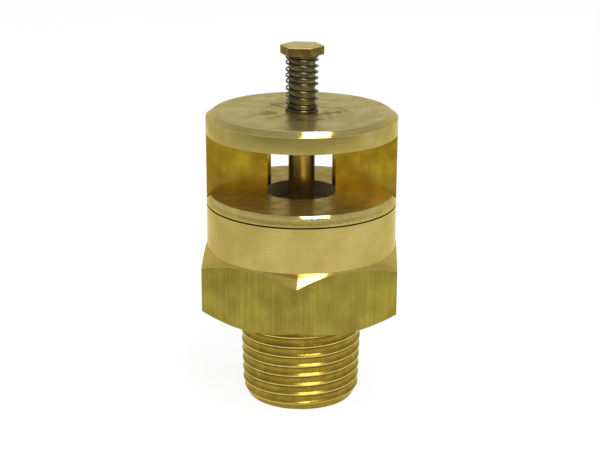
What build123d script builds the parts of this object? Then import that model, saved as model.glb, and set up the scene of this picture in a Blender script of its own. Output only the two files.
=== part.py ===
from build123d import *
import math
import os

# Adjustable vacuum relief valve with a half-inch male taper pipe thread.
# Millimetres, +Z up. The origin is the centre of the threaded end's bottom face.
# The two air windows face -Y and +Y.

# Pipe thread, drawn here as the cone over its crests
thread_end_diameter = 20.7
thread_taper = 1 / 16
thread_length = 16.55
thread_lead_in = 0.85
port_diameter = 14.0

# Hexagon and collar of the body
hex_flats = 34.3
hex_height = 11.35
hex_chamfer_angle = 28.5
hex_corner_from_front = -2.2
barrel_diameter = 33.3
collar_height = 7.9
seam_bevel = 0.12

# Cage: rim, windows, web and cap
rim_height = 2.0
rim_chamfer_width = 0.45
rim_chamfer_height = 0.8
window_height = 10.55
web_thickness = 5.3
cap_height = 3.65
cap_chamfer_width = 1.25
cap_chamfer_height = 0.8

# Seat and spigot under the cage's floor
seat_diameter = 13.8
cage_floor = 2.6
seat_lip_width = 0.8
seat_lip_height = 1.0
spigot_diameter = 26.4
spigot_wall = 1.9
spigot_length = 6.5
spigot_lead_in = 0.5
thread_clearance = 0.05
gasket_thickness = 0.8

# Chamber in the body, with the cone that the drill leaves
chamber_depth = 5.8
drill_cone_angle = 31.0

# Stem with its hexagon head
stem_diameter = 4.6
stem_clearance = 0.06
head_flats = 6.6
head_height = 1.5
head_chamfer_angle = 25.0
head_face_share = 0.94
head_corner_from_front = 25.5
stem_end_chamfer = 0.5
stem_past_nut = 1.0

# Spring between the cap and the head
spring_length = 9.9
spring_diameter = 5.8
spring_wire = 0.4
active_coil_count = 8.5
spring_end_clearance = 0.02

# Disc holder, rubber disc and the ring nut that clamps it
seat_disc_thickness = 2.4
holder_base = 2.0
holder_rim_wall = 0.7
holder_rim_below_seat = 0.9
holder_edge_chamfer = 0.4
hub_diameter = 7.2
seat_disc_past_lip = 0.6
disc_side_clearance = 0.05
retainer_diameter = 11.2
retainer_thickness = 1.0

# Lock washer and lock nut
washer_diameter = 8.2
washer_thickness = 0.9
washer_split = 0.9
nut_flats = 7.9
nut_thickness = 3.0
nut_chamfer_angle = 30.0

# Heights that follow from the sizes above
hex_top = thread_length + hex_height
seam = hex_top + collar_height
floor_top = seam + rim_height
cap_bottom = floor_top + window_height
cap_top = cap_bottom + cap_height
head_bottom = cap_top + spring_length
head_top = head_bottom + head_height
floor_bottom = floor_top - cage_floor
seat = floor_bottom - seat_lip_height
spigot_bottom = seam - spigot_length
gasket_bottom = spigot_bottom - gasket_thickness
chamber_bottom = gasket_bottom - chamber_depth
disc_bottom = seat - seat_disc_thickness
holder_bottom = disc_bottom - holder_base
hub_top = seat + retainer_thickness
nut_top = holder_bottom - washer_thickness
nut_bottom = nut_top - nut_thickness
stem_bottom = nut_bottom - stem_past_nut

# Radii that follow from the sizes above
barrel_radius = barrel_diameter / 2
port_radius = port_diameter / 2
seat_radius = seat_diameter / 2
spigot_radius = spigot_diameter / 2
chamber_radius = spigot_radius - spigot_wall
stem_radius = stem_diameter / 2
stem_hole = stem_radius + stem_clearance
hub_radius = hub_diameter / 2
seat_disc_radius = seat_radius + seat_lip_width + seat_disc_past_lip
cup_radius = seat_disc_radius + disc_side_clearance
holder_radius = cup_radius + holder_rim_wall


def turned(*corners):
    """Solid turned about Z, from the (radius, height) corners of its section."""
    with BuildPart() as part:
        with BuildSketch(Plane.XZ):
            with BuildLine():
                Polyline(*corners, close=True)
            make_face()
        revolve(axis=Axis.Z)
    return part.part


def hexagon_bar(flats, bottom, top, corner_from_front):
    """Hexagonal prism with one corner this many degrees from -Y, seen from above."""
    with BuildPart() as part:
        with BuildSketch(Plane.XY.offset(bottom)):
            RegularPolygon(flats / 2, 6, major_radius=False, rotation=corner_from_front - 90)
        extrude(amount=top - bottom)
    return part.part


def corner_radius(flats):
    """Radius of a hexagon's corners from its size across flats."""
    return flats / 2 / math.cos(math.radians(30))


def chamfer_drop(flats, face_radius, angle):
    """How far a turned chamfer runs down a hexagon's corners."""
    return (corner_radius(flats) - face_radius) * math.tan(math.radians(angle))


def pipe_thread_envelope():
    """Cone over the crests of the taper thread, with its lead-in."""
    end = thread_end_diameter / 2
    rise = thread_taper / 2
    return turned(
        (0, 0),
        (end - thread_lead_in, 0),
        (end + thread_lead_in * rise, thread_lead_in),
        (end + thread_length * rise, thread_length),
        (0, thread_length),
    )


def body_hexagon():
    """Hexagon bar whose corners are turned off to a cone above and below."""
    reach = corner_radius(hex_flats)
    drop = chamfer_drop(hex_flats, barrel_radius, hex_chamfer_angle)
    cones = turned(
        (0, thread_length),
        (barrel_radius, thread_length),
        (reach, thread_length + drop),
        (reach, hex_top - drop),
        (barrel_radius, hex_top),
        (0, hex_top),
    )
    return hexagon_bar(hex_flats, thread_length, hex_top, hex_corner_from_front) & cones


def body_collar():
    """Plain round collar, with a fine bevel at the joint with the cage."""
    return turned(
        (0, hex_top),
        (barrel_radius, hex_top),
        (barrel_radius, seam - seam_bevel),
        (barrel_radius - seam_bevel, seam),
        (0, seam),
    )


def body_passage():
    """Port, drilled chamber and threaded socket, as one cutter."""
    socket_radius = spigot_radius + thread_clearance
    cone_bottom = chamber_bottom - (chamber_radius - port_radius) * math.tan(
        math.radians(drill_cone_angle)
    )
    return turned(
        (0, 0),
        (port_radius, 0),
        (port_radius, cone_bottom),
        (chamber_radius, chamber_bottom),
        (chamber_radius, gasket_bottom),
        (socket_radius, gasket_bottom),
        (socket_radius, seam),
        (0, seam),
    )


def valve_body():
    """Threaded end, hexagon and collar, bored through."""
    outside = pipe_thread_envelope() + body_hexagon() + body_collar()
    return outside - body_passage()


def cage_blank():
    """Turned cage before its windows are milled: spigot, rim and cap."""
    inner_radius = spigot_radius - spigot_wall
    lip_radius = seat_radius + seat_lip_width
    return turned(
        (0, seat),
        (lip_radius, seat),
        (lip_radius, floor_bottom),
        (inner_radius, floor_bottom),
        (inner_radius, spigot_bottom),
        (spigot_radius - spigot_lead_in, spigot_bottom),
        (spigot_radius, spigot_bottom + spigot_lead_in),
        (spigot_radius, seam),
        (barrel_radius, seam),
        (barrel_radius, cap_top - cap_chamfer_height),
        (barrel_radius - cap_chamfer_width, cap_top),
        (0, cap_top),
    )


def air_window(side):
    """Cutter for one air window and its rim chamfer, on the side +1 or -1 of the web."""
    outside = barrel_radius + rim_chamfer_width
    cutter = turned(
        (0, floor_top),
        (barrel_radius - rim_chamfer_width, floor_top),
        (outside, floor_top - 2 * rim_chamfer_height),
        (outside, cap_bottom),
        (0, cap_bottom),
    )
    depth = outside
    middle = side * (web_thickness / 2 + depth / 2)
    with BuildPart() as half:
        with Locations((0, middle, (seam + cap_top) / 2)):
            Box(outside * 2, depth, cap_top - seam)
    return cutter & half.part


def inlet_cage():
    """Cage with its windows, seat bore and stem guide hole."""
    seat_bore = turned((0, seat), (seat_radius, seat), (seat_radius, cap_bottom), (0, cap_bottom))
    guide_hole = turned((0, cap_bottom), (stem_hole, cap_bottom), (stem_hole, cap_top), (0, cap_top))
    cage = cage_blank() - seat_bore - guide_hole
    for side in (-1, 1):
        cage = cage - air_window(side)
    return cage


def cage_gasket():
    """Flat ring between the spigot's end and the ledge in the body."""
    return turned(
        (chamber_radius, gasket_bottom),
        (spigot_radius, gasket_bottom),
        (spigot_radius, spigot_bottom),
        (chamber_radius, spigot_bottom),
    )


def stem():
    """Round stem with its thin hexagon head."""
    face_radius = head_flats / 2 * head_face_share
    drop = chamfer_drop(head_flats, face_radius, head_chamfer_angle)
    reach = corner_radius(head_flats)
    cone = turned(
        (0, head_bottom),
        (reach, head_bottom),
        (reach, head_top - drop),
        (face_radius, head_top),
        (0, head_top),
    )
    head = hexagon_bar(head_flats, head_bottom, head_top, head_corner_from_front) & cone
    shank = turned(
        (0, stem_bottom),
        (stem_radius - stem_end_chamfer, stem_bottom),
        (stem_radius, stem_bottom + stem_end_chamfer),
        (stem_radius, head_bottom),
        (0, head_bottom),
    )
    return shank + head


def spring():
    """Compression spring: an open helix between two closed end turns."""
    coil_radius = (spring_diameter - spring_wire) / 2
    first_turn = cap_top + spring_end_clearance + spring_wire / 2
    last_turn = head_bottom - spring_end_clearance - spring_wire / 2
    height = last_turn - first_turn
    path = Helix(height / active_coil_count, height, coil_radius, center=(0, 0, first_turn))
    with BuildPart() as part:
        with BuildSketch(Plane(origin=path @ 0, z_dir=path % 0)):
            Circle(spring_wire / 2)
        sweep(path=path, is_frenet=True)
        for level in (first_turn, last_turn):
            with Locations((0, 0, level)):
                Torus(coil_radius, spring_wire / 2)
    return part.part


def disc_holder():
    """Cup for the rubber disc, with the hub that takes the ring nut."""
    rim_top = seat - holder_rim_below_seat
    return turned(
        (stem_hole, holder_bottom),
        (holder_radius - holder_edge_chamfer, holder_bottom),
        (holder_radius, holder_bottom + holder_edge_chamfer),
        (holder_radius, rim_top),
        (cup_radius, rim_top),
        (cup_radius, disc_bottom),
        (hub_radius, disc_bottom),
        (hub_radius, hub_top),
        (stem_hole, hub_top),
    )


def seat_disc():
    """Rubber disc that closes on the seat lip."""
    hole = hub_radius + disc_side_clearance
    return turned(
        (hole, disc_bottom),
        (seat_disc_radius, disc_bottom),
        (seat_disc_radius, seat),
        (hole, seat),
    )


def disc_retainer():
    """Thin ring nut on the hub, over the rubber disc."""
    hole = hub_radius + thread_clearance
    return turned(
        (hole, seat),
        (retainer_diameter / 2, seat),
        (retainer_diameter / 2, hub_top),
        (hole, hub_top),
    )


def lock_washer():
    """Split spring washer under the disc holder."""
    hole = stem_radius + stem_clearance
    outer = washer_diameter / 2
    ring = turned((hole, nut_top), (outer, nut_top), (outer, holder_bottom), (hole, holder_bottom))
    with BuildPart() as split:
        with Locations((outer / 2, 0, (nut_top + holder_bottom) / 2)):
            Box(outer, washer_split, washer_thickness * 2)
    return ring - split.part


def lock_nut():
    """Hexagon nut on the stem, chamfered at both faces."""
    face_radius = nut_flats / 2
    reach = corner_radius(nut_flats)
    drop = chamfer_drop(nut_flats, face_radius, nut_chamfer_angle)
    cone = turned(
        (stem_hole, nut_bottom),
        (face_radius, nut_bottom),
        (reach, nut_bottom + drop),
        (reach, nut_top - drop),
        (face_radius, nut_top),
        (stem_hole, nut_top),
    )
    return hexagon_bar(nut_flats, nut_bottom, nut_top, 0) & cone


nodes = {
    "valve_body": valve_body(),
    "inlet_cage": inlet_cage(),
    "cage_gasket": cage_gasket(),
    "stem": stem(),
    "spring": spring(),
    "disc_holder": disc_holder(),
    "seat_disc": seat_disc(),
    "disc_retainer": disc_retainer(),
    "lock_washer": lock_washer(),
    "lock_nut": lock_nut(),
}

os.makedirs("parts", exist_ok=True)
for name, solid in nodes.items():
    export_step(solid, f"parts/{name}.step")
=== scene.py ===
import bpy
import bmesh
import math
import numpy as np
from mathutils import Matrix, Vector


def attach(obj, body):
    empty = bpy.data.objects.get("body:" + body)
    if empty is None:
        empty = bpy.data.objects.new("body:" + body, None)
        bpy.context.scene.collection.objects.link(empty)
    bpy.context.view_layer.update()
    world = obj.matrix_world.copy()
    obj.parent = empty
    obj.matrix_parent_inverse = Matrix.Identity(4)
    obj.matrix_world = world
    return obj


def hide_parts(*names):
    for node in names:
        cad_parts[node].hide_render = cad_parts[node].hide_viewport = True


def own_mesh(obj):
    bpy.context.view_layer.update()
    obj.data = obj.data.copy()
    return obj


# Adjustable vacuum relief valve: bright brass, turned, milled and threaded, on a white studio floor.
# Sizes are in millimetres and are scaled to metres where a mesh is made. Where the photograph shows
# something other than the solids, they follow the photograph.

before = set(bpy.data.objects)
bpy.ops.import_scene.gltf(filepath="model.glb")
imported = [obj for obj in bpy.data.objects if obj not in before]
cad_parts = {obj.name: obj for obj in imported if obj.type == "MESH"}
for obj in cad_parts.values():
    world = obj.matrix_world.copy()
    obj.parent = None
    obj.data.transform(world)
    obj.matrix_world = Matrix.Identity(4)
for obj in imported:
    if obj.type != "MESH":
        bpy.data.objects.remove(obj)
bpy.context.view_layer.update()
MM = 0.001

# Pipe thread: half-inch NPT, 14 threads to the inch
thread_end_radius = 10.35
thread_pitch = 25.4 / 14
thread_rise = 1 / 32
thread_depth = 0.36
front_crest = 1.32
# The front is three quarters of a turn round from where the helix is counted
thread_first_crest = front_crest - thread_pitch * 0.75
thread_lead_in = 0.85
thread_lead_in_height = 1.6
hex_bottom = 16.55
port_radius = 7.0
port_edge = 0.3

# Hexagon and collar of the body
hex_flats = 33.7
hex_corner_rounding = 0.3
hex_chamfer_angle = 32.7
hex_corner_from_front = -2.2
hex_top = 27.9
barrel_radius = 16.65
seam = 35.8
seam_bevel = 0.14
socket_radius = 13.25
chamber_radius = 11.3
gasket_bottom = 28.5
chamber_bottom = 22.7
drill_cone_angle = 31.0

# Cage
floor_top = 37.8
cap_bottom = 48.35
cap_top = 52.0
rim_chamfer_width = 0.45
rim_chamfer_height = 0.8
web_front = 2.5
web_rear = 3.4
cap_chamfer_width = 1.25
cap_chamfer_height = 0.8
seat_radius = 6.4
seat_lip_radius = 7.2
seat = 34.2
floor_bottom = 35.2
spigot_radius = 13.2
spigot_bottom = 29.3
spigot_lead_in = 0.5

# Stem and spring
stem_radius = 2.3
stem_hole = 2.36
stem_bottom = 24.9
stem_thread_top = 36.6
stem_thread_pitch = 25.4 / 32
stem_thread_depth = 0.45
stem_lead_in = 0.5
head_flats = 6.6
head_corner_from_front = 22.0
head_corner_rounding = 0.12
head_bottom = 61.9
head_top = 63.4
coil_radius = 2.7
spring_wire = 0.34

# Softened edge that turning and deburring leave
soft_edge = 0.12
fine_edge = 0.05

# Threads: half the width of a crest as a share of the pitch, and the height over which a groove fades out
crest_half = 0.055
thread_runout = 0.8

# How finely the meshes are divided
columns_per_face = 33
columns_per_corner = 7
cage_columns = 240
groove_points = 13
coil_points_per_turn = 40
weld_distance = 0.0005

# Edges that turn by more degrees than this are shaded sharp
sharp_turn = 38


def linear(code):
    """Linear colour with alpha from an sRGB hex value such as "BCAC5C"."""
    shares = [int(code[i:i + 2], 16) / 255 for i in (0, 2, 4)]
    return [s / 12.92 if s <= 0.04045 else ((s + 0.055) / 1.055) ** 2.4 for s in shares] + [1.0]


# Shapes

def hexagon_columns(corner_from_front, flats, rounding):
    """Angles of a hexagon's columns, with extra ones round each corner."""
    turn = math.degrees(math.atan((flats / 2 - rounding) * math.tan(math.radians(30)) / (flats / 2)))
    face = np.linspace(-turn, turn, columns_per_face)
    corner = np.linspace(turn, 60 - turn, columns_per_corner)[1:-1]
    offsets = np.concatenate([face, corner])
    first = corner_from_front - 90 + 30
    return np.radians(np.concatenate([offsets + first + 60 * side for side in range(6)]))


def hexagon_radius(angles, corner_from_front, flats, rounding):
    """Radius of a hexagon with rounded corners at each angle."""
    apothem = flats / 2
    thirty = math.radians(30)
    corner = math.radians(corner_from_front - 90)
    from_corner = np.abs((angles - corner + thirty) % (2 * thirty) - thirty)
    flat = apothem / np.cos(thirty - from_corner)
    centre = (apothem - rounding) / math.cos(thirty)
    across = np.minimum(centre * np.sin(from_corner), rounding)
    round_corner = centre * np.cos(from_corner) + np.sqrt(rounding ** 2 - across ** 2)
    tangent = (apothem - rounding) * math.tan(thirty)
    on_flat = apothem * np.tan(thirty - from_corner) <= tangent
    return np.where(on_flat, flat, round_corner)


def eased(corners, columns):
    """Rings along a section. A corner is (radius, height, ease, finish); ease rounds it off."""
    points = [
        np.array([np.broadcast_to(radius, columns), np.broadcast_to(height, columns)])
        for radius, height, ease, finish in corners
    ]
    rings = []
    for i, (radius, height, ease, finish) in enumerate(corners):
        here = points[i]
        if ease == 0:
            rings.append((here[0], here[1], finish))
            continue
        back = points[i - 1] - here
        onward = points[i + 1] - here
        start = here + back / np.linalg.norm(back, axis=0) * ease
        end = here + onward / np.linalg.norm(onward, axis=0) * ease
        for s in (0, 0.33, 0.67, 1):
            p = (1 - s) ** 2 * start + 2 * s * (1 - s) * here + s * s * end
            rings.append((p[0], p[1], finish))
    return rings


def groove(turns):
    """Depth of a worn, hollow thread, 0 at the crest and 1 at the root, at a height counted in turns."""
    from_root = np.abs(turns % 1 - 0.5)
    return np.clip(1 - (from_root / (0.5 - crest_half)) ** 2, 0, 1)


def thread_rings(angles, bottom, top, pitch, first_crest, depth, outside, crest, hollow):
    """Rings that follow a right-hand helix; outside gives the crest's radius at each height."""
    steps = [0, *np.linspace(crest_half, 1 - crest_half, groove_points)]
    turn = angles / (2 * math.pi)
    first = math.floor((bottom - first_crest) / pitch) - 2
    last = math.ceil((top - first_crest) / pitch) + 2
    rings = []
    for k in range(first, last):
        for step in steps:
            height = np.clip(first_crest + (k + step + turn) * pitch, bottom, top)
            fade = np.clip((top - height) / thread_runout, 0, 1)
            cut = groove((height - first_crest) / pitch - turn) * fade
            radius = np.minimum(outside(height)[0] - depth * cut, outside(height)[1])
            rings.append((radius, height, crest if step in (steps[0], steps[-1]) else hollow))
    return rings


def turned_piece(name, angles, rings, finishes, closed):
    """Mesh object with faces between neighbouring rings; closed joins the last ring to the first."""
    round_trip = np.append(angles, angles[0] + 2 * math.pi)
    columns = len(round_trip)
    corners = []
    for radius, height, finish in rings:
        radius = np.append(radius, radius[0]) if len(radius) < columns else radius
        height = np.append(height, height[0]) if len(height) < columns else height
        corners += list(zip(
            radius * np.cos(round_trip) * MM, radius * np.sin(round_trip) * MM, height * MM
        ))
    faces = []
    bands = []
    for i in range(len(rings) if closed else len(rings) - 1):
        above = (i + 1) % len(rings) * columns
        for j in range(columns - 1):
            faces.append((i * columns + j, i * columns + j + 1, above + j + 1, above + j))
            bands.append(rings[i][2])
    mesh = bpy.data.meshes.new(name)
    mesh.from_pydata(corners, [], faces)
    mesh.polygons.foreach_set("material_index", bands)
    for finish in finishes:
        mesh.materials.append(finish)
    weld(mesh)
    piece = bpy.data.objects.new(name, mesh)
    bpy.context.scene.collection.objects.link(piece)
    return piece


def weld(mesh):
    """Joins corners that coincide and shades the mesh smooth, with sharp edges where it turns."""
    work = bmesh.new()
    work.from_mesh(mesh)
    bmesh.ops.remove_doubles(work, verts=work.verts, dist=weld_distance * MM)
    bmesh.ops.dissolve_degenerate(work, edges=work.edges, dist=weld_distance * MM)
    work.to_mesh(mesh)
    work.free()
    mesh.validate()
    mesh.shade_smooth()
    mesh.set_sharp_from_angle(angle=math.radians(sharp_turn))


def whole_circle(columns):
    """Evenly spaced angles."""
    return np.linspace(0, 2 * math.pi, columns, endpoint=False)


def columns_and_seam(angles):
    """The angles with the first repeated a turn on, for shapes that climb as they turn."""
    return np.append(angles, angles[0] + 2 * math.pi)


def pipe_crest(height):
    """Radius over the pipe thread's crests, and the lead-in cone that cuts it at the end."""
    taper = thread_end_radius + height * thread_rise
    slope = thread_lead_in / thread_lead_in_height
    return taper, thread_end_radius - thread_lead_in + height * slope


def stem_crest(height):
    """Radius over the stem's thread, and its lead-in."""
    return stem_radius + 0 * height, stem_radius - stem_lead_in + (height - stem_bottom)


def threaded_body(finishes):
    """Valve body: taper thread, hexagon chamfered above and below, collar, and the bores."""
    angles = hexagon_columns(hex_corner_from_front, hex_flats, hex_corner_rounding)
    trip = columns_and_seam(angles)
    reach = hexagon_radius(trip, hex_corner_from_front, hex_flats, hex_corner_rounding)
    drop = (reach - barrel_radius) * math.tan(math.radians(hex_chamfer_angle))
    cone = (chamber_radius - port_radius) * math.tan(math.radians(drill_cone_angle))
    crest, hollow, drawn, turned, chamfer, bored, joint = range(7)
    rings = thread_rings(
        trip, 0, hex_bottom, thread_pitch, thread_first_crest, thread_depth, pipe_crest, crest, hollow
    )
    rings += eased([
        (pipe_crest(hex_bottom)[0], hex_bottom, 0, bored),
        (barrel_radius, hex_bottom, 0, chamfer),
        (reach, hex_bottom + drop, fine_edge, drawn),
        (reach, hex_top - drop, fine_edge, chamfer),
        (barrel_radius, hex_top, 0, turned),
        (barrel_radius, seam - seam_bevel, 0, joint),
        (barrel_radius - seam_bevel, seam, 0, joint),
        (socket_radius, seam, 0, bored),
        (socket_radius, gasket_bottom, 0, bored),
        (chamber_radius, gasket_bottom, 0, bored),
        (chamber_radius, chamber_bottom, 0, bored),
        (port_radius, chamber_bottom - cone, soft_edge, bored),
        (port_radius, port_edge, 0, chamfer),
        (port_radius + port_edge, 0, 0, turned),
    ], len(trip))
    return turned_piece("threaded_hexagon_body", angles, rings, finishes, closed=True)


def cut(piece, cutter):
    """Cuts one mesh object out of another and removes the cutter."""
    tool = piece.modifiers.new("cut", "BOOLEAN")
    tool.operation = "DIFFERENCE"
    tool.solver = "EXACT"
    tool.object = cutter
    shown = bpy.context.evaluated_depsgraph_get()
    mesh = bpy.data.meshes.new_from_object(piece.evaluated_get(shown))
    piece.modifiers.remove(tool)
    piece.data = mesh
    bpy.data.objects.remove(cutter)


def block(name, half_size, middle, finish):
    """Plain cutting block."""
    work = bmesh.new()
    bmesh.ops.create_cube(work, size=2, matrix=Matrix.Diagonal((*half_size, 1)))
    bmesh.ops.translate(work, verts=work.verts, vec=middle)
    for face in work.faces:
        face.material_index = finish
    mesh = bpy.data.meshes.new(name)
    work.to_mesh(mesh)
    work.free()
    piece = bpy.data.objects.new(name, mesh)
    bpy.context.scene.collection.objects.link(piece)
    return piece


def windowed_cage(finishes):
    """Cage: turned blank with both air windows milled out, which leaves the web between them."""
    turned, faced, milled, chamfer, bored, floored, joint = range(7)
    angles = whole_circle(cage_columns)
    inner_radius = chamber_radius
    rings = eased([
        (seat_lip_radius, seat, 0, bored),
        (seat_lip_radius, floor_bottom, 0, bored),
        (inner_radius, floor_bottom, 0, bored),
        (inner_radius, spigot_bottom, 0, bored),
        (spigot_radius - spigot_lead_in, spigot_bottom, 0, bored),
        (spigot_radius, spigot_bottom + spigot_lead_in, 0, bored),
        (spigot_radius, seam, 0, joint),
        (barrel_radius - seam_bevel, seam, 0, joint),
        (barrel_radius, seam + seam_bevel, 0, turned),
        (barrel_radius, cap_top - cap_chamfer_height, soft_edge, chamfer),
        (barrel_radius - cap_chamfer_width, cap_top, soft_edge, faced),
        (stem_hole + fine_edge, cap_top, 0, faced),
        (stem_hole, cap_top - fine_edge, 0, bored),
        (stem_hole, cap_bottom, 0, milled),
        (seat_radius, cap_bottom, 0, milled),
        (seat_radius, floor_top, 0, bored),
        (seat_radius, seat, 0, bored),
    ], len(angles))
    cage = turned_piece("windowed_cage", angles, rings, finishes, closed=True)
    # The cutter's cone runs on past the barrel, so it leaves the chamfer on the rim
    outside = barrel_radius + rim_chamfer_width
    clearance = 1.0
    rings = eased([
        (0, floor_top, 0, floored),
        (barrel_radius - rim_chamfer_width, floor_top, 0, chamfer),
        (outside, floor_top - 2 * rim_chamfer_height, 0, milled),
        (outside, cap_bottom, 0, milled),
        (0, cap_bottom, 0, milled),
    ], len(angles))
    windows = turned_piece("windows", angles, rings, finishes, closed=False)
    half_size = Vector((outside + clearance, (web_front + web_rear) / 2, cap_top - seam)) * MM
    middle = Vector((0, (web_rear - web_front) / 2, (floor_top + cap_bottom) / 2)) * MM
    cut(windows, block("web", half_size, middle, milled))
    cut(cage, windows)
    edge = cage.modifiers.new("deburred_edges", "BEVEL")
    edge.width = soft_edge * MM
    edge.segments = 2
    edge.limit_method = "ANGLE"
    edge.angle_limit = math.radians(45)
    edge.harden_normals = True
    cage.data.shade_smooth()
    cage.data.set_sharp_from_angle(angle=math.radians(sharp_turn))
    return cage


def headed_stem(finishes):
    """Adjusting stem: thread at the lower end, plain shank, and the thin hexagon head."""
    shank, face, flat, thread, tarnished_and_shaded = range(5)
    angles = hexagon_columns(head_corner_from_front, head_flats, head_corner_rounding)
    trip = columns_and_seam(angles)
    reach = hexagon_radius(trip, head_corner_from_front, head_flats, head_corner_rounding)
    rings = eased([(0, stem_bottom, 0, thread)], len(trip))
    rings += thread_rings(
        trip, stem_bottom, stem_thread_top, stem_thread_pitch, 0, stem_thread_depth, stem_crest,
        thread, thread,
    )
    rings += eased([
        (stem_radius, stem_thread_top, 0, shank),
        (stem_radius, cap_top, 0, tarnished_and_shaded),
        (stem_radius, head_bottom, 0, face),
        (reach, head_bottom, fine_edge, flat),
        (reach, head_top, soft_edge, face),
        (0, head_top, 0, face),
    ], len(trip))
    return turned_piece("headed_stem", angles, rings, finishes, closed=False)


def coil_spring(finish):
    """Wire spring wound left-handed, with closed ends and a pitch that wanders a little."""
    # Heights above the cap of the wire at each half turn, from left side to right side and back
    half_turns = [0.2, 0.22, 0.5, 0.9, 1.55, 2.15, 2.8, 3.4, 4.0, 4.75, 5.2, 5.75, 6.2, 6.8, 7.2, 7.8,
                  8.45, 8.9, 9.35, 9.6, 9.68, 9.7]
    last = len(half_turns) - 1
    steps = np.linspace(0, last, last * coil_points_per_turn // 2 + 1)
    heights = np.interp(steps, range(last + 1), half_turns)
    kernel = np.hanning(coil_points_per_turn // 2 + 1)
    padded = np.pad(heights, len(kernel) // 2, mode="edge")
    heights = np.convolve(padded, kernel / kernel.sum(), mode="valid")
    angles = math.pi * (1 - steps)
    curve = bpy.data.curves.new("coil_spring", "CURVE")
    curve.dimensions = "3D"
    curve.bevel_depth = spring_wire / 2 * MM
    curve.bevel_resolution = 4
    curve.use_fill_caps = True
    line = curve.splines.new("POLY")
    line.points.add(len(steps) - 1)
    for point, angle, height in zip(line.points, angles, heights):
        place = (coil_radius * math.cos(angle), coil_radius * math.sin(angle), cap_top + height)
        point.co = (*(Vector(place) * MM), 1)
    wire = bpy.data.objects.new("coil_path", curve)
    bpy.context.scene.collection.objects.link(wire)
    shown = bpy.context.evaluated_depsgraph_get()
    mesh = bpy.data.meshes.new_from_object(wire.evaluated_get(shown))
    bpy.data.objects.remove(wire)
    mesh.materials.clear()
    mesh.materials.append(finish)
    mesh.shade_smooth()
    piece = bpy.data.objects.new("coil_spring", mesh)
    bpy.context.scene.collection.objects.link(piece)
    return piece


# Finishes

# Shades that come up in all the brass
pit_dirt = "4A3A1C"
scratch_shade = "5A4A20"
scuff_brown = "6E5A2A"
# Painted shade for the foot of the window walls
foot_shade_colour = "5C5038"
grazing_gold = "F8EEC8"

# Pits are typically about 0.1 mm across, too fine to show, so they are drawn as coarse as they need to be
pit_size = 0.35


def add(material, kind, links, **settings):
    """Adds a node; links gives each input, by name or number, a value or another node's output."""
    node = material.node_tree.nodes.new(kind)
    for name, value in settings.items():
        setattr(node, name, value)
    for name, value in links.items():
        if isinstance(value, bpy.types.NodeSocket):
            material.node_tree.links.new(value, node.inputs[name])
        else:
            node.inputs[name].default_value = value
    return node


def new_finish(name):
    """Empty material, with no nodes yet."""
    material = bpy.data.materials.new(name)
    material.use_nodes = True
    material.node_tree.nodes.clear()
    return material


def shine(material, links):
    """Gives the material its surface shader."""
    shader = add(material, "ShaderNodeBsdfPrincipled", links)
    add(material, "ShaderNodeOutputMaterial", {"Surface": shader.outputs[0]})


def stretched(material, across, along):
    """The object's own coordinates, so that a pattern of size 1 is across mm round and along mm up."""
    place = add(material, "ShaderNodeTexCoord", {})
    scale = (1 / (across * MM), 1 / (across * MM), 1 / (along * MM))
    links = {"Vector": place.outputs["Object"], "Scale": scale}
    return add(material, "ShaderNodeMapping", links).outputs[0]


def noise(material, where, detail=2.0, scale=1.0):
    """Noise value from 0 to 1 on the coordinates that it is given."""
    links = {"Vector": where, "Scale": scale, "Detail": detail}
    return add(material, "ShaderNodeTexNoise", links).outputs["Fac"]


def between(material, value, low, high, to_low, to_high):
    """Value from low to high, turned into to_low to to_high and held there outside it."""
    links = {0: value, 1: low, 2: high, 3: to_low, 4: to_high}
    return add(material, "ShaderNodeMapRange", links, clamp=True).outputs[0]


def blended(material, share, first, second):
    """Colour between two others."""
    links = {0: share, 6: first, 7: second}
    return add(material, "ShaderNodeMix", links, data_type="RGBA").outputs[2]


def scuffed_ring(material, colour):
    """Colour with the dark, broken scuffs that a turning spring and tools leave round the stem."""
    radius = off_axis(material)[1]
    inside = between(material, radius, 3.2 * MM, 4.4 * MM, 0, 1)
    outside = between(material, radius, 7.0 * MM, 9.0 * MM, 1, 0)
    ring = add(material, "ShaderNodeMath", {0: inside, 1: outside}, operation="MULTIPLY").outputs[0]
    blotch = 2.2
    blotches = noise(material, stretched(material, blotch, blotch), detail=6.0)
    broken = between(material, blotches, 0.50, 0.60, 0, 0.85)
    share = add(material, "ShaderNodeMath", {0: ring, 1: broken}, operation="MULTIPLY").outputs[0]
    return blended(material, share, colour, linear(scuff_brown))


def painted_foot_shade(material, colour):
    """Colour that darkens towards the foot of the web: painted shade where the wall meets the window floor.
    """
    place = add(material, "ShaderNodeTexCoord", {}).outputs["Object"]
    height = add(material, "ShaderNodeSeparateXYZ", {0: place}).outputs["Z"]
    shade_height = 4.5
    share = between(material, height, floor_top * MM, (floor_top + shade_height) * MM, 0.42, 0)
    return blended(material, share, colour, linear(foot_shade_colour))


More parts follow.
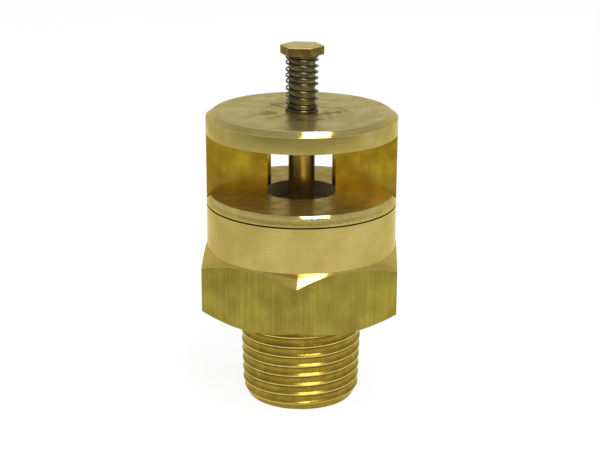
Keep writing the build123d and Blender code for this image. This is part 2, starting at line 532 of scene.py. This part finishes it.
def brass(
    name, bright, dull, patch, speck_share, roughness, grain, grain_depth, streak=0.1, metal=1.0, wear_and_shade=None
):
    """Brass with soft patches of two shades, fine dark specks, and a grain that scratches and streaks it."""
    material = new_finish(name)
    cloud = noise(material, stretched(material, patch, patch), detail=4.0)
    colour = blended(material, between(material, cloud, 0.36, 0.64, 0, 1), linear(dull), linear(bright))
    dots = noise(material, stretched(material, pit_size, pit_size), detail=1.0)
    speck = between(material, dots, 0.74, 0.80, 0, speck_share)
    colour = blended(material, speck, colour, linear(pit_dirt))
    lines = noise(material, grain(material), detail=3.0)
    dark = between(material, lines, 0.62, 0.40, 0, streak)
    colour = blended(material, dark, colour, linear(scratch_shade))
    if wear_and_shade:
        colour = wear_and_shade(material, colour)
    rough = between(material, cloud, 0.3, 0.7, roughness * 1.2, roughness * 0.8)
    bump = add(material, "ShaderNodeBump", {"Height": lines, "Strength": 1.0, "Distance": grain_depth * MM})
    shine(material, {
        "Base Color": colour, "Metallic": metal, "Roughness": rough, "Normal": bump.outputs[0],
        "Specular Tint": linear(grazing_gold),
    })
    return material


def lathe_lines(material):
    """Turning marks that run round the barrel."""
    # A finishing cut typically leaves them 0.05 mm apart, too fine to show, so they are drawn coarser
    return stretched(material, 14.0, 0.16)


def drawn_lines(material):
    """Marks that the drawing die leaves along a bar."""
    # Real ones are typically 0.05 to 0.2 mm wide, too fine to show, so they are drawn coarser
    return stretched(material, 0.4, 16.0)


def milled_marks(material):
    """Faint upright marks of the end mill."""
    # A cutter typically leaves them 0.1 to 0.2 mm apart, too fine to show, so they are drawn coarser
    return stretched(material, 0.7, 12.0)


def off_axis(material):
    """Offset from the valve's axis, and its length."""
    place = add(material, "ShaderNodeTexCoord", {}).outputs["Object"]
    flat = add(material, "ShaderNodeVectorMath", {0: place, 1: (1, 1, 0)}, operation="MULTIPLY").outputs[0]
    return flat, add(material, "ShaderNodeVectorMath", {0: flat}, operation="LENGTH").outputs["Value"]


def facing_rings(material):
    """Rings round the valve's axis, for a face that was turned across."""
    flat, radius = off_axis(material)
    way = add(material, "ShaderNodeVectorMath", {0: flat}, operation="NORMALIZE").outputs[0]
    # A facing cut typically feeds 0.1 mm a turn, too fine to show, so the rings are drawn coarser
    spacing = 0.3
    rings = {0: radius, 1: 1 / (spacing * MM)}
    ring = add(material, "ShaderNodeMath", rings, operation="MULTIPLY").outputs[0]
    ring = add(material, "ShaderNodeCombineXYZ", {"Z": ring}).outputs[0]
    return add(material, "ShaderNodeVectorMath", {0: way, 1: ring}, operation="ADD").outputs[0]


def spring_steel():
    """Hard-drawn steel wire, coiled and left oily: dark brownish grey with small glints."""
    material = new_finish("hard_drawn_spring_steel")
    cloud = noise(material, stretched(material, 0.8, 0.8), detail=3.0)
    colour = blended(material, cloud, linear("454134"), linear("66614C"))
    shine(material, {"Base Color": colour, "Metallic": 1.0, "Roughness": 0.2})
    return material


def rubber(name):
    """Nitrile rubber, moulded or cut from sheet: black and matt, with a faint grain."""
    material = new_finish(name)
    grain = noise(material, stretched(material, 0.25, 0.25), detail=3.0)
    colour = blended(material, grain, linear("141413"), linear("232220"))
    bump = add(material, "ShaderNodeBump", {"Height": grain, "Distance": 0.02 * MM})
    shine(material, {"Base Color": colour, "Roughness": 0.62, "Normal": bump.outputs[0]})
    return material


# Studio

def seen_share(material, reflected):
    """1 for what the camera sees, reflected for what a mirror or a clear body shows, 0 for plain light."""
    path = add(material, "ShaderNodeLightPath", {})
    mirrored = add(material, "ShaderNodeMath", {
        0: path.outputs["Is Glossy Ray"], 1: path.outputs["Is Transmission Ray"]
    }, operation="MAXIMUM").outputs[0]
    mirrored = add(material, "ShaderNodeMath", {0: mirrored, 1: reflected}, operation="MULTIPLY").outputs[0]
    links = {0: path.outputs["Is Camera Ray"], 1: mirrored}
    return add(material, "ShaderNodeMath", links, operation="MAXIMUM").outputs[0]


def white_to_camera(material, shade):
    """The shade that reflections see, with plain white for what the camera sees."""
    seen = add(material, "ShaderNodeLightPath", {}).outputs["Is Camera Ray"]
    return add(material, "ShaderNodeMath", {0: shade, 1: seen}, operation="MAXIMUM").outputs[0]


def white_floor():
    """Flat white card that stays white to the eye and keeps a soft shadow under the valve."""
    mesh = bpy.data.meshes.new("studio_floor")
    size = 4.0
    corners = [(-size, -size, 0), (size, -size, 0), (size, size, 0), (-size, size, 0)]
    mesh.from_pydata(corners, [], [(0, 1, 2, 3)])
    material = new_finish("white_card")
    place = add(material, "ShaderNodeTexCoord", {}).outputs["Object"]
    apart = add(material, "ShaderNodeSeparateXYZ", {0: place})
    # Reflections see the card grow darker towards its front and sides: axis, from, to, and the shade at each
    fall_offs = (
        ("Y", -0.16, -0.09, 0.82, 1.0),
        ("Y", -0.235, -0.195, 0.3, 1.0),
        ("X", -0.20, -0.05, 0.68, 1.0),
        ("X", 0.08, 0.25, 1.0, 0.78),
    )
    shade = 1.0
    for axis, start, end, at_start, at_end in fall_offs:
        links = {0: shade, 1: between(material, apart.outputs[axis], start, end, at_start, at_end)}
        shade = add(material, "ShaderNodeMath", links, operation="MULTIPLY").outputs[0]
    strength = white_to_camera(material, shade)
    seen = add(material, "ShaderNodeEmission", {"Color": (1, 1, 1, 1), "Strength": strength}).outputs[0]
    card = add(material, "ShaderNodeBsdfDiffuse", {"Color": linear("F2F2F2")}).outputs[0]
    seen_part = {0: seen_share(material, 0.95), 1: 0.88}
    share = add(material, "ShaderNodeMath", seen_part, operation="MULTIPLY").outputs[0]
    surface = add(material, "ShaderNodeMixShader", {0: share, 1: card, 2: seen})
    add(material, "ShaderNodeOutputMaterial", {"Surface": surface.outputs[0]})
    mesh.materials.append(material)
    floor = bpy.data.objects.new("studio_floor", mesh)
    bpy.context.scene.collection.objects.link(floor)


def studio_world():
    """Plain pale surroundings."""
    world = bpy.data.worlds.new("studio")
    world.use_nodes = True
    world.node_tree.nodes.clear()
    way = add(world, "ShaderNodeTexCoord", {}).outputs["Generated"]
    rise = add(world, "ShaderNodeSeparateXYZ", {0: way}).outputs["Z"]
    wall = between(world, rise, 0.30, 0.70, 0.70, 0.50)
    strength = white_to_camera(world, wall)
    seen = add(world, "ShaderNodeBackground", {"Color": (1, 1, 1, 1), "Strength": strength}).outputs[0]
    light = add(world, "ShaderNodeBackground", {"Color": (1, 1, 1, 1), "Strength": 0.7}).outputs[0]
    surface = add(world, "ShaderNodeMixShader", {0: seen_share(world, 1.0), 1: light, 2: seen})
    add(world, "ShaderNodeOutputWorld", {"Surface": surface.outputs[0]})
    bpy.context.scene.world = world


def soft_box(name, direction, upper_side, distance, width, height, radiance):
    """Rectangular lamp that faces the valve; radiance is what a mirror would show, with white as 1."""
    valve_middle = Vector((0, 0, 0.04))
    lamp = bpy.data.lights.new(name, "AREA")
    lamp.shape = "RECTANGLE"
    lamp.size = width
    lamp.size_y = height
    lamp.energy = radiance * math.pi * width * height
    lamp_object = bpy.data.objects.new(name, lamp)
    away = Vector(direction).normalized()
    across = Vector(upper_side).cross(away).normalized()
    turn = Matrix((across, away.cross(across), away)).transposed()
    lamp_object.location = valve_middle + away * distance
    lamp_object.rotation_euler = turn.to_euler()
    bpy.context.scene.collection.objects.link(lamp_object)


def camera():
    """Camera where the photograph was taken from: 0.24 m in front, looking 17.5 degrees down."""
    place = (-0.238, -242.0, 107.4)
    look_down = 17.47
    tilt = 0.26
    lens = bpy.data.cameras.new("camera")
    lens.lens = 86.0
    lens.sensor_width = 36.0
    lens.clip_start = 0.01
    eye = bpy.data.objects.new("camera", lens)
    pitch = Matrix.Rotation(math.radians(90 - look_down), 4, "X")
    roll = Matrix.Rotation(math.radians(tilt), 4, "Z")
    eye.matrix_world = Matrix.Translation(Vector(place) * MM) @ pitch @ roll
    bpy.context.scene.collection.objects.link(eye)
    bpy.context.scene.camera = eye


# Crests of the pipe thread: what the die left of the turned cone, rubbed bright; thin pale gold lines
crest_brass = brass(
    "brass_thread_crest", bright="DCC878", dull="CCB868", patch=1.6, speck_share=0.4,
    roughness=0.24, grain=lathe_lines, grain_depth=0.002,
)

# Hollows of the threads: cut by a die; a deep gold that is painted shade of deep grooves, with soft lights
# near the crests
groove_shade_brass = brass(
    "brass_cut_thread_painted_shade", bright="9E8832", dull="8A7428", patch=1.6, speck_share=0.6, roughness=0.28,
    grain=lathe_lines, grain_depth=0.004,
)

# Hexagon flats: the bar as it was drawn, never machined; olive gold with fine upright die marks
drawn_brass = brass(
    "brass_drawn_bar", bright="A4953E", dull="918234", patch=4.0, speck_share=0.8, roughness=0.34,
    grain=drawn_lines, grain_depth=0.022, streak=0.2,
)

# Collar: turned on the lathe; pale warm gold with a satin shine and hardly a mark
collar_brass = brass(
    "brass_turned_collar", bright="C2B068", dull="B6A358", patch=5.0, speck_share=0.8,
    roughness=0.22, grain=lathe_lines, grain_depth=0.004, streak=0.06,
)

# Side of the cap and rim: turned like the collar; a slightly duller gold, which is painted shade
cap_brass = brass(
    "brass_turned_cap", bright="C0AE62", dull="B2A055", patch=4.0, speck_share=0.8, roughness=0.22,
    grain=lathe_lines, grain_depth=0.004, streak=0.06,
)

# Top of the cap: faced across on the lathe; pale satin gold with faint rings, and scuffs round the spring
faced_brass = brass(
    "brass_faced_top", bright="D6C994", dull="C0B078", patch=3.0, speck_share=0.7, roughness=0.35,
    grain=facing_rings, grain_depth=0.012, streak=0.2, wear_and_shade=scuffed_ring,
)

# Walls of the windows: milled; a strong yellow with soft upright shades, and painted shade that browns it at
# the foot
milled_brass = brass(
    "brass_milled_window", bright="AC9024", dull="927216", patch=3.5, speck_share=0.5,
    roughness=0.2, grain=milled_marks, grain_depth=0.006, streak=0.12, metal=0.94, wear_and_shade=painted_foot_shade,
)

# Floor of the windows: swept by the end of the mill; brownish gold, since it mirrors the cap's underside
floor_brass = brass(
    "brass_milled_floor", bright="BEA65E", dull="A68E4A", patch=2.5, speck_share=0.6,
    roughness=0.34, grain=lathe_lines, grain_depth=0.01, streak=0.2, metal=0.9,
)

# Chamfers of cap and rim: turned with a fresh edge and the brightest of all; white glints on gold
chamfer_brass = brass(
    "brass_bright_chamfer", bright="CEBC74", dull="C4B26A", patch=2.0, speck_share=0.4,
    roughness=0.09, grain=lathe_lines, grain_depth=0.002, streak=0.06,
)

# Cones that take the corners off the hexagon: turned; a shade brighter than the flats, with one sharp glint
cone_brass = brass(
    "brass_hexagon_cone", bright="DAC468", dull="D0BA5E", patch=2.0, speck_share=0.5,
    roughness=0.12, grain=lathe_lines, grain_depth=0.002, streak=0.1,
)

# Inside bores: bored and left dull; greyish brown in the dark of the valve
bored_brass = brass(
    "brass_bored_inside", bright="BAAF98", dull="A2977E", patch=3.0, speck_share=0.5,
    roughness=0.42, grain=lathe_lines, grain_depth=0.008, streak=0.1, metal=0.45,
)

# Joint between body and cage: two small bevels painted dark as the shade in the gap; a thin dark line
joint_shade_brass = brass(
    "brass_joint_painted_shade", bright="2A1E0C", dull="1E1608", patch=1.0, speck_share=0.5, roughness=0.8,
    grain=lathe_lines, grain_depth=0.01, streak=0.3,
)

# Stem inside the windows: drawn rod; brownish gold with upright streaks
stem_brass = brass(
    "brass_stem", bright="A08A50", dull="8A7844", patch=2.0, speck_share=0.6, roughness=0.32,
    grain=drawn_lines, grain_depth=0.01, streak=0.25, metal=0.9,
)

# Stem under the spring: the same rod, darker with tarnish and with painted shade of the spring round it;
# dark olive brown
tarnish_and_shade_brass = brass(
    "brass_stem_tarnish_and_shade", bright="837850", dull="544E36", patch=0.9, speck_share=0.6,
    roughness=0.24, grain=drawn_lines, grain_depth=0.01, streak=0.3, metal=0.9,
)

# Flats of the stem's head: milled and tarnished; brown gold
head_brass = brass(
    "brass_head", bright="846E3C", dull="66522A", patch=1.5, speck_share=0.6, roughness=0.3,
    grain=drawn_lines, grain_depth=0.01, streak=0.2,
)

# Top of the stem's head: faced; pale gold that catches the light from above
head_top_brass = brass(
    "brass_head_top", bright="E0D49A", dull="D0C286", patch=1.2, speck_share=0.5, roughness=0.34,
    grain=facing_rings, grain_depth=0.01, streak=0.15,
)

# The valve

body = threaded_body([
    crest_brass, groove_shade_brass, drawn_brass, collar_brass, cone_brass, bored_brass, joint_shade_brass
])
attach(body, "housing")
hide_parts("valve_body")

cage = windowed_cage([
    cap_brass, faced_brass, milled_brass, chamfer_brass, bored_brass, floor_brass, joint_shade_brass
])
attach(cage, "housing")
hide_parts("inlet_cage")

stem = headed_stem([stem_brass, head_top_brass, head_brass, groove_shade_brass, tarnish_and_shade_brass])
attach(stem, "stem")
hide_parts("stem")

wire_steel = spring_steel()
spring = coil_spring(wire_steel)
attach(spring, "housing")
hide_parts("spring")
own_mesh(spring)

# Pieces inside, shown as their own solids
for name, finish in (
    ("disc_holder", bored_brass),
    ("disc_retainer", bored_brass),
    ("lock_nut", bored_brass),
    ("lock_washer", wire_steel),
    ("seat_disc", rubber("nitrile_seat")),
    ("cage_gasket", rubber("nitrile_gasket")),
):
    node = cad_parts[name]
    node.data.materials.clear()
    node.data.materials.append(finish)

white_floor()
studio_world()
soft_box("overhead_strip", (0.14, -0.08, 1.0), (0, 1, 0), 0.60, 0.15, 0.42, 10.0)
soft_box("front_right_box", (0.36, -1.10, 1.0), (0, 0, 1), 0.60, 0.32, 0.26, 12.0)
camera()

bpy.context.scene.view_settings.view_transform = "Standard"
